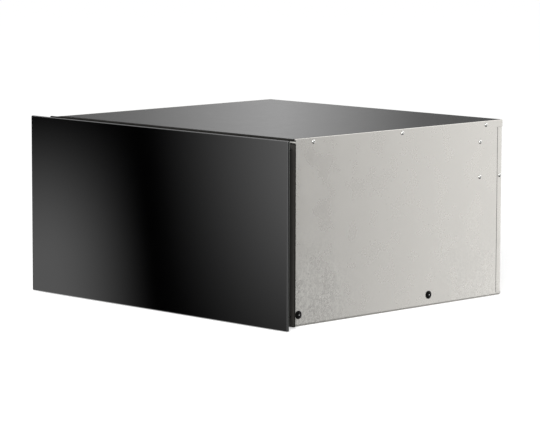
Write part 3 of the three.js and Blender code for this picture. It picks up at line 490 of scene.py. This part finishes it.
def ease_edges(item, radius):
    """Joins the mesh's split corners and rounds its sharp edges, without touching its own vertices."""
    weld = item.modifiers.new("weld", "WELD")
    weld.merge_threshold = WELD_DISTANCE
    flat = item.modifiers.new("flat", "DECIMATE")
    flat.decimate_type = "DISSOLVE"
    flat.angle_limit = FLAT_ANGLE
    bevel = item.modifiers.new("bevel", "BEVEL")
    bevel.width = radius
    bevel.segments = EDGE_SEGMENTS
    bevel.limit_method = "ANGLE"
    bevel.angle_limit = EDGE_ANGLE
    bevel.use_clamp_overlap = True
    keep_faces_flat(item)


def drop_stored_normals(mesh):
    """Removes the faceted shading that comes with the mesh, which would hide the rounded edges."""
    if "custom_normal" in mesh.attributes:
        mesh.attributes.remove(mesh.attributes["custom_normal"])


for node, item in nodes.items():
    slot_name = item.data.materials[0].name
    item.data.materials[0] = FINISHES[slot_name]
    shade_smooth(item.data)
    drop_stored_normals(item.data)
    ease_edges(item, EDGE_ROUND.get(node, DEFAULT_ROUND))

# ------------------------------------------------------------------ new meshes

TURNED_SEGMENTS = 48
MERGE_DISTANCE = 0.001 * MM


def mesh_piece(name, shape, slot_name, body):
    """An object from a bmesh, with the finish of a slot, that moves with a CAD body."""
    mesh = bpy.data.meshes.new(name)
    shape.to_mesh(mesh)
    shape.free()
    shade_smooth(mesh)
    item = bpy.data.objects.new(name, mesh)
    bpy.context.scene.collection.objects.link(item)
    mesh.materials.append(FINISHES[slot_name])
    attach(item, body)
    keep_faces_flat(item)
    return item


def box_shape(low, high):
    shape = bmesh.new()
    bmesh.ops.create_cube(shape, size=1.0)
    size = Vector(high) - Vector(low)
    centre = (Vector(high) + Vector(low)) / 2
    shape.transform(Matrix.Translation(centre) @ Matrix.Diagonal((size.x, size.y, size.z, 1)))
    return shape


def ring(shape, radius, height):
    """The corners of one turn of a lathe: a circle, or a single point on the axis."""
    count = TURNED_SEGMENTS if radius else 1
    angles = [2 * math.pi * i / TURNED_SEGMENTS for i in range(count)]
    return [shape.verts.new((radius * math.cos(a), radius * math.sin(a), height)) for a in angles]


def lathe(profile, axis, centre):
    """A closed bmesh turned about axis through centre, from (radius, distance along the axis) points.

    The profile starts and ends on the axis.
    """
    shape = bmesh.new()
    rings = [ring(shape, radius, height) for radius, height in profile]
    for lower, upper in zip(rings, rings[1:]):
        for i in range(TURNED_SEGMENTS):
            j = (i + 1) % TURNED_SEGMENTS
            near = (lower[i % len(lower)], lower[j % len(lower)])
            far = (upper[j % len(upper)], upper[i % len(upper)])
            corners = dict.fromkeys(near + far)
            shape.faces.new(list(corners))
    bmesh.ops.remove_doubles(shape, verts=shape.verts, dist=MERGE_DISTANCE)
    bmesh.ops.recalc_face_normals(shape, faces=shape.faces)
    turn = Vector((0, 0, 1)).rotation_difference(Vector(axis)).to_matrix().to_4x4()
    shape.transform(Matrix.Translation(Vector(centre)) @ turn)
    return shape


# ------------------------------------------------------------------ turned pieces on the side panels

HEAD_GAP = 0.02 * MM                    # between a head and what it stands on
DOME_STEPS = 10


def side_piece(name, profile, side, y, z, slot_name, gap=HEAD_GAP):
    """A turned piece that stands out from a side panel's face, at y and z."""
    shape = lathe(profile, (side, 0, 0), (side * (SIDE_FACE + gap), y, z))
    return mesh_piece(name, shape, slot_name, "casing")


def head_profile(shank, shank_depth, radius, rim, rise, hole, hole_depth):
    """A shank and a domed head with a straight rim, and a round hole in the middle of its top."""
    points = [(0, -shank_depth), (shank, -shank_depth), (shank, 0), (radius, 0)]
    last = math.acos(hole / radius)
    for i in range(DOME_STEPS + 1):
        angle = last * i / DOME_STEPS
        points.append((radius * math.cos(angle), rim + (rise - rim) * math.sin(angle)))
    floor = points[-1][1] - hole_depth
    return [*points, (hole, floor), (0, floor)]


# ------------------------------------------------------------------ rivets

RIVET_RADIUS = 3.2 * MM
RIVET_RISE = 1.7 * MM
RIVET_RIM = 0.25 * MM
RIVET_SHANK = 1.5 * MM
RIVET_HOLE = 1.0 * MM
RIVET_HOLE_DEPTH = 1.2 * MM
LONG_SHANK = 2.5 * MM                   # of the rivets that stand for the CAD's
SHORT_SHANK = 0.5 * MM
STUB_SUNK = 0.25 * MM                   # the broken pin below the rivet's top
STUB_GAP = 0.05 * MM

# Rivets through the baffle's flanges and through the rear flange.
BAFFLE_RIVET_Y = (baffle_low.y + baffle_high.y) / 2
BAFFLE_RIVET_Z = {"upper": 256.0 * MM, "lower": 198.8 * MM}
SEAM_RIVET_INSET = 6.0 * MM             # from the casing's rear face
SEAM_RIVET_Y = rear_high.y - SEAM_RIVET_INSET
SEAM_RIVET_Z = 198.1 * MM


def rivet(name, side, y, z, shank_depth, *replaced):
    """A blind rivet's head, with its broken pin in the hole, given a black finish as painted shade of the
    hole.
    """
    head = head_profile(
        RIVET_SHANK, shank_depth, RIVET_RADIUS, RIVET_RIM, RIVET_RISE, RIVET_HOLE, RIVET_HOLE_DEPTH
    )
    item = side_piece(name, head, side, y, z, "zinc_steel")
    if replaced:
        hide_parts(*replaced)
    radius = RIVET_HOLE - STUB_GAP
    foot = RIVET_RISE - RIVET_HOLE_DEPTH + STUB_GAP
    top = RIVET_RISE - STUB_SUNK
    shaded_pin = [(0, foot), (radius, foot), (radius, top), (0, top)]
    # the pin is black as painted shade of the rivet's hole
    side_piece(f"{name}_pin", shaded_pin, side, y, z, "black_screw")


for side_name, side in SIDES:
    for spot in ("front", "middle", "rear"):
        node = f"rivet_{spot}_{side_name}"
        y, z = middle(node).yz
        rivet(f"rivet_head_{spot}_{side_name}", side, y, z, LONG_SHANK, node)
    for spot, height in BAFFLE_RIVET_Z.items():
        rivet(f"rivet_baffle_{spot}_{side_name}", side, BAFFLE_RIVET_Y, height, SHORT_SHANK)
    rivet(f"rivet_seam_{side_name}", side, SEAM_RIVET_Y, SEAM_RIVET_Z, SHORT_SHANK)

# ------------------------------------------------------------------ runner screws

SCREW_RADIUS = 6.5 * MM
SCREW_RISE = 1.8 * MM
SCREW_RIM = 0.5 * MM
SCREW_SHANK = 1.9 * MM
SCREW_DEPTH = 2.5 * MM
RECESS_RADIUS = 1.0 * MM
RECESS_DEPTH = 0.7 * MM
RECESS_WALL = 0.15 * MM


def runner_screw(spot, side_name, side):
    """A black screw's round head, with a bright zinc lining in its recess: partly worn bright metal, partly
    a painted highlight.
    """
    node = f"runner_screw_{spot}_{side_name}"
    y, z = middle(node).yz
    head = head_profile(
        SCREW_SHANK, SCREW_DEPTH, SCREW_RADIUS, SCREW_RIM, SCREW_RISE, RECESS_RADIUS, RECESS_DEPTH
    )
    item = side_piece(f"screw_head_{spot}_{side_name}", head, side, y, z, "black_screw")
    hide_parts(node)
    highlight_lining = [
        (0, SCREW_RISE - RECESS_DEPTH),
        (RECESS_RADIUS, SCREW_RISE),
        (RECESS_RADIUS - RECESS_WALL, SCREW_RISE + RECESS_WALL),
        (0, SCREW_RISE + RECESS_WALL - RECESS_DEPTH),
    ]
    # bright lining: worn metal and a painted highlight in the recess
    cup = f"screw_recess_{spot}_{side_name}"
    side_piece(cup, highlight_lining, side, y, z, "zinc_steel", gap=2 * HEAD_GAP)


for side_name, side in SIDES:
    for spot in ("front", "rear"):
        runner_screw(spot, side_name, side)

# ------------------------------------------------------------------ sheet behind the frame's relief slots

FLANGE_THICKNESS = 2.5 * MM             # of the front frame's flange
TAB_LOW = 281.5 * MM
TAB_HIGH = 287.2 * MM
TAB_THICKNESS = 0.7 * MM
TAB_GAP = 0.2 * MM


def corner_tab(side_name, side):
    """The casing's bare steel, seen through the slot between the frame's flanges."""
    collar = SIDE_FACE - TAB_GAP
    ends = sorted((side * collar, side * (collar + TAB_THICKNESS)))
    back = frame_high.y - TAB_GAP
    front = frame_low.y + FLANGE_THICKNESS + TAB_GAP
    shape = box_shape((ends[0], front, TAB_LOW), (ends[1], back, TAB_HIGH))
    mesh_piece(f"corner_tab_{side_name}", shape, "galvanised_steel", "casing")


for side_name, side in SIDES:
    corner_tab(side_name, side)

# ------------------------------------------------------------------ dark strip in the casing's rear seams: painted shade

SEAM_GAP = 1.1 * MM                     # from the side panel's edge to the rear panel's flange
SEAM_LOW = 5.5 * MM
SEAM_HIGH = 277.0 * MM
SHADE_STRIP_RECESS = 0.1 * MM
SHADE_STRIP_THICKNESS = 0.5 * MM
SHADE_STRIP_GAP = 0.05 * MM


def seam_shade_strip(side_name, side):
    """A black strip in the gap between a side panel and the rear panel's flange, as painted shade of the
    gap.
    """
    outer = SIDE_FACE - SHADE_STRIP_RECESS
    ends = sorted((side * outer, side * (outer - SHADE_STRIP_THICKNESS)))
    front = rear_low.y - SEAM_GAP + SHADE_STRIP_GAP
    back = rear_low.y - SHADE_STRIP_GAP
    # painted shade: a dark strip where the seam gap is shaded
    shape = box_shape((ends[0], front, SEAM_LOW), (ends[1], back, SEAM_HIGH))
    mesh_piece(f"seam_shade_strip_{side_name}", shape, "black_rubber", "casing")


for side_name, side in SIDES:
    seam_shade_strip(side_name, side)

# ------------------------------------------------------------------ knob pointer and its marks

POINTER_WIDTH = 0.9 * MM
POINTER_DEPTH = 0.9 * MM
POINTER_SUNK = 0.05 * MM
POINTER_ENDS = (0.5, 0.94)              # shares of the knob's radius
MARK_COUNT = 5
MARK_TRAVEL = math.radians(240)
MARK_INNER = 19.5 * MM
MARK_OUTER = 24.0 * MM
MARK_WIDTH = 1.3 * MM
MARK_HEIGHT = 0.12 * MM
MARK_LIFT = 0.02 * MM


def knob_pointer():
    """White filling of the groove in the knob's top, which points forward at rest."""
    low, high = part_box("control_knob")
    knob = middle("control_knob")
    radius = (high.x - low.x) / 2
    inner, outer = (radius * share for share in POINTER_ENDS)
    top = high.z - POINTER_SUNK
    shape = box_shape(
        (knob.x - POINTER_WIDTH / 2, knob.y - outer, top - POINTER_DEPTH),
        (knob.x + POINTER_WIDTH / 2, knob.y - inner - POINTER_SUNK, top),
    )
    mesh_piece("knob_pointer", shape, "white_plastic", "knob")


def knob_marks():
    """Plain dashes round the knob, one for each step of its travel."""
    knob = middle("control_knob")
    ledge_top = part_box("control_ledge")[1].z
    for step in range(MARK_COUNT):
        shape = box_shape(
            (-MARK_WIDTH / 2, -MARK_OUTER, MARK_LIFT),
            (MARK_WIDTH / 2, -MARK_INNER, MARK_LIFT + MARK_HEIGHT),
        )
        turn = Matrix.Rotation(-MARK_TRAVEL * step / (MARK_COUNT - 1), 4, "Z")
        shape.transform(Matrix.Translation((knob.x, knob.y, ledge_top)) @ turn)
        mesh_piece(f"knob_mark_{step}", shape, "black_plastic", "drawer")


knob_pointer()
knob_marks()

# ------------------------------------------------------------------ glass front

GLASS_CORNER = 1.5 * MM
CORNER_SEGMENTS = 6
GLASS_ARRIS = 1.1 * MM
ARRIS_SEGMENTS = 4
ROUND = 0.5                             # bevel profile of a true arc


def glass_pane():
    """The pane with ground, rounded edges in place of the CAD's plain chamfer."""
    shape = box_shape(glass_low, glass_high)
    thickness = glass_high.y - glass_low.y
    corners = [e for e in shape.edges if abs(e.verts[0].co.y - e.verts[1].co.y) > thickness / 2]
    bmesh.ops.bevel(
        shape, geom=corners, offset=GLASS_CORNER, segments=CORNER_SEGMENTS, profile=ROUND, affect="EDGES"
    )
    outline = [e for e in shape.edges if e.calc_face_angle(0) > EDGE_ANGLE]
    bmesh.ops.bevel(
        shape, geom=outline, offset=GLASS_ARRIS, segments=ARRIS_SEGMENTS, profile=ROUND, affect="EDGES"
    )
    item = mesh_piece("glass_pane", shape, "black_glass", "drawer")
    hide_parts("glass_front")


glass_pane()

# ------------------------------------------------------------------ stage: world, floor, drum of light, lamp

WHITE = grey(1)
WORLD_LIGHT = 0.58
FLOOR_DROP = 0.6 * MM
FLOOR_HALF = 30.0
FLOOR_GREY = 0.82
FLOOR_LIFT = 0.52                       # glow that makes the floor white to rays that show it


def background_rays(tree):
    """1 for rays that show the background: from the camera, from gloss and through glass."""
    path = tree.add("ShaderNodeLightPath")
    seen = tree.math("MAXIMUM", path.outputs["Is Camera Ray"], path.outputs["Is Glossy Ray"])
    return tree.math("MAXIMUM", seen, path.outputs["Is Transmission Ray"])


def white_world():
    """A world that lights the object softly and shows white itself."""
    world = bpy.data.worlds.new("studio")
    bpy.context.scene.world = world
    tree = Tree(world)
    light = tree.add("ShaderNodeBackground")
    light.inputs["Color"].default_value = WHITE
    light.inputs["Strength"].default_value = WORLD_LIGHT
    shown = tree.add("ShaderNodeBackground")
    shown.inputs["Color"].default_value = WHITE
    mixed = tree.add("ShaderNodeMixShader")
    output = tree.add("ShaderNodeOutputWorld")
    tree.join(background_rays(tree), mixed.inputs[0])
    tree.join(light.outputs[0], mixed.inputs[1])
    tree.join(shown.outputs[0], mixed.inputs[2])
    tree.join(mixed.outputs[0], output.inputs["Surface"])


def stage_piece(name, mesh, material):
    item = bpy.data.objects.new(name, mesh)
    mesh.materials.append(material)
    bpy.context.scene.collection.objects.link(item)
    return item


def floor_material():
    """Pale grey, lifted to white for the rays that show the background."""
    material = bpy.data.materials.new("floor_white")
    tree = Tree(material)
    diffuse = tree.add("ShaderNodeBsdfDiffuse")
    diffuse.inputs["Color"].default_value = grey(FLOOR_GREY)
    lift = tree.add("ShaderNodeEmission")
    lift.inputs["Color"].default_value = WHITE
    tree.join(tree.product(background_rays(tree), FLOOR_LIFT), lift.inputs["Strength"])
    both = tree.add("ShaderNodeAddShader")
    output = tree.add("ShaderNodeOutputMaterial")
    tree.join(diffuse.outputs[0], both.inputs[0])
    tree.join(lift.outputs[0], both.inputs[1])
    tree.join(both.outputs[0], output.inputs["Surface"])
    return material


def pale_floor():
    """A square of floor, a hair below the object's foot."""
    signs = ((-1, -1), (1, -1), (1, 1), (-1, 1))
    corners = [(x * FLOOR_HALF, y * FLOOR_HALF, -FLOOR_DROP) for x, y in signs]
    mesh = bpy.data.meshes.new("floor")
    mesh.from_pydata(corners, [], [(0, 1, 2, 3)])
    item = stage_piece("floor", mesh, floor_material())
    item.visible_glossy = False


# A drum of light round the object, seen only in gloss. Azimuths are in degrees from -Y towards +X.
DRUM_RADIUS = 3.0
DRUM_LOW = -4.0
DRUM_HIGH = 5.0
DRUM_SEGMENTS = 96
BRIGHTEST = 4.0                         # the level that white stands for in a ramp of levels

# The two glows that the glass front shows. Round the drum, a glow comes up from edge to full and falls
# from fade to end, where the share rest of it is left. In height, it comes up from the first value of
# rise to the second, which may be the lower one.
GLOW_LEAN = 1.985                       # degrees that the glows lean over a metre of height
GLOWS = (
    {
        "edge": -44.03, "full": -49.27, "fade": -55, "end": -70, "rest": 0.25,
        "rise": (0.117, -0.328), "power": 1.393,
    },
    {
        "edge": -44.11, "full": -31.54, "fade": -29, "end": -8, "rest": 0.0,
        "rise": (-0.783, -0.003), "power": 2.782,
    },
)

# Brightness round the drum, in layers of (azimuth, level) stops.
GROUND_LEVELS = ((-180, 0.3), (180, 0.3))
LOW_LEVELS = (
    (-180, 1.4), (-150, 0.6), (-82, 0.6), (-75, 0), (-8, 0), (14, 0.9), (24, 1.3), (64, 1.3), (76, 0.9),
    (95, 0.9), (112, 0), (126, 0.6), (127.5, 0.3), (130, 0.3), (131.5, 1.17), (150, 2.05), (160, 1.6),
    (170, 1.0), (180, 0.9),
)
MIDDLE_LEVELS = (
    (-180, 1.2), (-160, 0.3), (-150, 0.05), (-142, 0.16), (-134.85, 0.57), (-127.5, 0.22), (-119, 0.08),
    (-105, 0.5), (-85, 1.6), (-60, 0.6), (0, 0.6), (15, 1.2), (95, 1.2), (115, 0.4), (152, 2.2), (165, 2.0),
    (180, 1.2),
)
HIGH_LEVELS = (
    (-180, 2.0), (-150, 0.2), (-118, 0.2), (-102, 2.2), (-70, 2.2), (-50, 1.4), (0, 0.8), (90, 0.8),
    (125, 1.6), (140, 2.0), (160, 2.8), (180, 2.0),
)
TOP_LEVELS = (
    (-180, 2.4), (-150, 1.2), (-50, 1.2), (0, 0.9), (110, 0.9), (140, 3.2), (165, 4.0), (180, 2.4),
)
CEILING_LEVELS = ((-180, 1.2), (180, 1.2))

# The layers above the ground's, and the heights between which each takes over from the one below it.
LAYERS = (
    (LOW_LEVELS, (-2.8, -0.6)),
    (MIDDLE_LEVELS, (0.10, 0.35)),
    (HIGH_LEVELS, (0.85, 1.3)),
    (TOP_LEVELS, (2.3, 3.4)),
    (CEILING_LEVELS, (3.7, 4.5)),
)


def levels(tree, azimuth, stops):
    """A brightness that follows the stops round the drum."""
    share = tree.math("DIVIDE", tree.math("ADD", azimuth, 180.0), 360.0)
    ramp = tree.add("ShaderNodeValToRGB")
    tree.join(share, ramp.inputs[0])
    elements = ramp.color_ramp.elements
    ready = len(elements)
    for index, (angle, level) in enumerate(stops):
        position = (angle + 180.0) / 360.0
        element = elements[index] if index < ready else elements.new(position)
        element.position = position
        element.color = grey(level / BRIGHTEST)
    return tree.product(ramp.outputs[0], BRIGHTEST)


def glow(tree, lean, height, light):
    """The brightness of one glow. Lean is the azimuth, shifted with the height as the glow leans."""
    start = tree.spread(lean, (light["edge"], light["full"]), (0, 1))
    end = tree.spread(lean, (light["fade"], light["end"]), (1, light["rest"]))
    upward = tree.spread(height, light["rise"], (0, 1))
    return tree.product(start, end, tree.product(upward, light["power"]))


def drum_material():
    """A light whose brightness follows the layers and the glows."""
    material = bpy.data.materials.new("light_drum")
    tree = Tree(material)
    x, y, height = tree.parts(tree.place())
    turn = tree.math("ARCTAN2", x, tree.product(y, -1.0))
    azimuth = tree.product(turn, math.degrees(1))
    around = levels(tree, azimuth, GROUND_LEVELS)
    for stops, rise in LAYERS:
        share = tree.spread(height, rise, (0, 1))
        rest = tree.product(around, tree.math("SUBTRACT", 1.0, share))
        around = tree.math("ADD", rest, tree.product(levels(tree, azimuth, stops), share))
    lean = tree.math("ADD", azimuth, tree.product(height, GLOW_LEAN))
    left, right = (glow(tree, lean, height, light) for light in GLOWS)
    total = tree.math("ADD", tree.math("ADD", left, right), around)
    emission = tree.add("ShaderNodeEmission")
    tree.join(total, emission.inputs["Strength"])
    output = tree.add("ShaderNodeOutputMaterial")
    tree.join(emission.outputs[0], output.inputs["Surface"])
    return material


def light_drum():
    shape = bmesh.new()
    bmesh.ops.create_cone(
        shape, cap_ends=True, segments=DRUM_SEGMENTS, radius1=DRUM_RADIUS, radius2=DRUM_RADIUS,
        depth=DRUM_HIGH - DRUM_LOW,
    )
    shape.transform(Matrix.Translation((0, 0, (DRUM_HIGH + DRUM_LOW) / 2)))
    mesh = bpy.data.meshes.new("light_drum")
    shape.to_mesh(mesh)
    shape.free()
    item = stage_piece("light_drum", mesh, drum_material())
    item.visible_camera = False
    item.visible_diffuse = False
    item.visible_transmission = False
    item.visible_shadow = False


KEY_PLACE = (1.62, -2.23, 1.3)
KEY_AIM = (0, 0, 0.15)
KEY_SIZE = 1.1
KEY_WATTS = 95


def key_lamp():
    """A square softbox to the left of the camera's line, above the object."""
    light = bpy.data.lights.new("key", "AREA")
    light.shape = "SQUARE"
    light.size = KEY_SIZE
    light.energy = KEY_WATTS
    item = bpy.data.objects.new("key", light)
    bpy.context.scene.collection.objects.link(item)
    item.location = KEY_PLACE
    item.rotation_euler = (Vector(KEY_AIM) - Vector(KEY_PLACE)).to_track_quat("-Z", "Y").to_euler()
    item.visible_camera = False


white_world()
pale_floor()
light_drum()
key_lamp()

# ------------------------------------------------------------------ camera

CAMERA_AZIMUTH = 0.788497               # radians, from -Y towards +X
CAMERA_ELEVATION = 0.124222
CAMERA_ROLL = 0.0023997
CAMERA_PLACE = (3.37842, -3.38356, 0.72359)
CAMERA_LENS = 194.957                   # millimetres, as the sensor's width is
SENSOR_WIDTH = 36.0
CLIP_END = 100


def camera():
    back = Vector((
        math.sin(CAMERA_AZIMUTH) * math.cos(CAMERA_ELEVATION),
        -math.cos(CAMERA_AZIMUTH) * math.cos(CAMERA_ELEVATION),
        math.sin(CAMERA_ELEVATION),
    ))
    level = (-back).cross(Vector((0, 0, 1))).normalized()
    upright = level.cross(-back)
    right = math.cos(CAMERA_ROLL) * level + math.sin(CAMERA_ROLL) * upright
    up = -math.sin(CAMERA_ROLL) * level + math.cos(CAMERA_ROLL) * upright
    data = bpy.data.cameras.new("camera")
    data.lens = CAMERA_LENS
    data.sensor_fit = "HORIZONTAL"
    data.sensor_width = SENSOR_WIDTH
    data.clip_end = CLIP_END
    item = bpy.data.objects.new("camera", data)
    bpy.context.scene.collection.objects.link(item)
    turn = Matrix((right, up, back)).transposed().to_4x4()
    item.matrix_world = Matrix.Translation(Vector(CAMERA_PLACE)) @ turn
    bpy.context.scene.camera = item


camera()
bpy.context.scene.view_settings.view_transform = "Standard"
